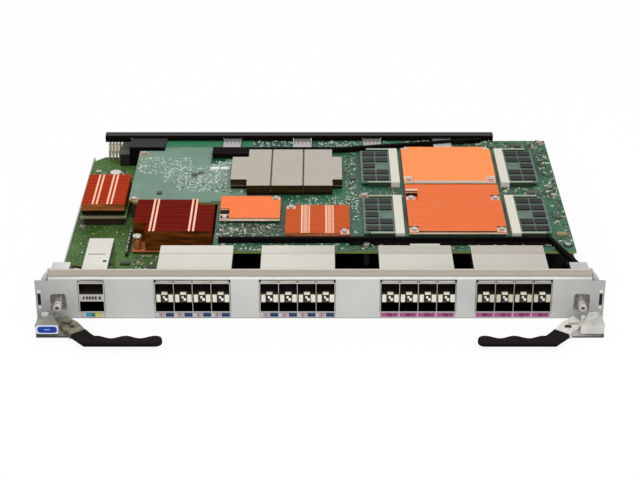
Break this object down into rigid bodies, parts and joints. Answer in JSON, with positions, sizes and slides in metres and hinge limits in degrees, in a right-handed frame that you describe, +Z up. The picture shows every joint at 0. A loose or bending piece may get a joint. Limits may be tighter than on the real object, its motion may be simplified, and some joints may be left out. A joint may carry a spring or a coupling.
{
  "type": "switch blade module",
  "caption": "Wide network blade: a faceplate with stacked transceiver ports and ejector levers, two circuit boards with heat sinks, and rear backplane connectors.",
  "frame": {"origin": "middle of the tray's underside", "axes": "+X right along the faceplate, +Y back towards the rear connectors, +Z up from the tray"},
  "size_m": [0.433, 0.355, 0.0388],
  "materials": {
    "panel_paint": "satin",
    "gasket_fabric": "matte",
    "tray_steel": "satin",
    "cage_steel": "satin",
    "bracket_steel": "satin",
    "lower_board_green": "satin",
    "upper_board_green": "satin",
    "standoff_brass": "satin",
    "screw_steel": "satin",
    "connector_black": "matte",
    "separator_steel": "satin",
    "housing_paint": "satin",
    "lever_steel": "satin",
    "grip_black": "matte",
    "plate_print": "satin",
    "stiffener_grey": "satin",
    "rear_bar_black": "satin",
    "connector_grey": "matte",
    "connector_cream": "matte",
    "contact_gold": "polished",
    "sink_orange": "satin",
    "sink_red": "satin",
    "sink_silver": "satin",
    "chip_black": "matte",
    "module_green": "satin",
    "capacitor_silver": "satin"
  },
  "bodies": {
    "chassis": {"base_tray": "tray_steel", "board_screws": "screw_steel", "board_standoffs": "standoff_brass", "cage_dividers": "cage_steel", "cage_frames": "cage_steel", "can_capacitor": "capacitor_silver", "chip_packages": "chip_black", "faceplate": "panel_paint", "front_heat_sink": "sink_orange", "front_stiffener": "stiffener_grey", "guide_block": "connector_cream", "heat_sink_screws": "screw_steel", "left_ejector_housing": "housing_paint", "left_end_bracket": "bracket_steel", "left_heat_sink": "sink_red", "left_screw_spring": "screw_steel", "lower_board": "lower_board_green", "memory_module_left_front": "module_green", "memory_module_left_rear": "module_green", "memory_module_right_front": "module_green", "memory_module_right_rear": "module_green", "memory_sockets": "connector_cream", "middle_stiffener": "stiffener_grey", "number_plate": "plate_print", "panel_rivets": "screw_steel", "pin_header": "connector_black", "pivot_pins": "screw_steel", "plug_in_board": "lower_board_green", "plug_in_connectors": "connector_black", "port_cage_1": "cage_steel", "port_cage_2": "cage_steel", "port_cage_3": "cage_steel", "port_cage_4": "cage_steel", "port_connectors": "connector_black", "port_separators": "separator_steel", "power_blades": "contact_gold", "power_connector": "connector_black", "rear_heat_sink": "sink_orange", "rear_stiffener": "rear_bar_black", "right_ejector_housing": "housing_paint", "right_end_bracket": "bracket_steel", "right_screw_spring": "screw_steel", "signal_connectors": "connector_grey", "silver_heat_sink": "sink_silver", "small_heat_sink": "sink_orange", "striped_heat_sink": "sink_orange", "tall_heat_sink": "sink_red", "top_gasket": "gasket_fabric", "upper_board": "upper_board_green", "wide_port_cage": "cage_steel", "wide_port_connector": "connector_black", "wide_port_separator": "separator_steel"},
    "left_lever": {"left_lever_plate": "lever_steel", "left_lever_grip": "grip_black"},
    "right_lever": {"right_lever_plate": "lever_steel", "right_lever_grip": "grip_black"},
    "left_screw_carrier": {"left_screw_washer": "screw_steel"},
    "left_screw": {"left_captive_screw": "screw_steel"},
    "right_screw_carrier": {"right_screw_washer": "screw_steel"},
    "right_screw": {"right_captive_screw": "screw_steel"}
  },
  "joints": [
    {"name": "left_lever_hinge", "type": "hinge", "parent": "chassis", "child": "left_lever", "pos_m": [-0.208, -0.1615, 0], "axis": [0, 0, 1], "range_deg": [-45, 0]},
    {"name": "right_lever_hinge", "type": "hinge", "parent": "chassis", "child": "right_lever", "pos_m": [0.208, -0.1615, 0], "axis": [0, 0, 1], "range_deg": [0, 45]},
    {"name": "left_screw_push", "type": "slide", "parent": "chassis", "child": "left_screw_carrier", "axis": [0, 1, 0], "range_m": [0, 0.006], "stiffness_N_per_m": 300, "springref_m": -0.002, "deforming": ["left_screw_spring"]},
    {"name": "left_screw_turn", "type": "hinge", "parent": "left_screw_carrier", "child": "left_screw", "pos_m": [-0.1994, -0.1475, 0.0133], "axis": [0, 1, 0], "continuous": true},
    {"name": "right_screw_push", "type": "slide", "parent": "chassis", "child": "right_screw_carrier", "axis": [0, 1, 0], "range_m": [0, 0.006], "stiffness_N_per_m": 300, "springref_m": -0.002, "deforming": ["right_screw_spring"]},
    {"name": "right_screw_turn", "type": "hinge", "parent": "right_screw_carrier", "child": "right_screw", "pos_m": [0.1994, -0.1475, 0.0133], "axis": [0, 1, 0], "continuous": true}
  ]
}
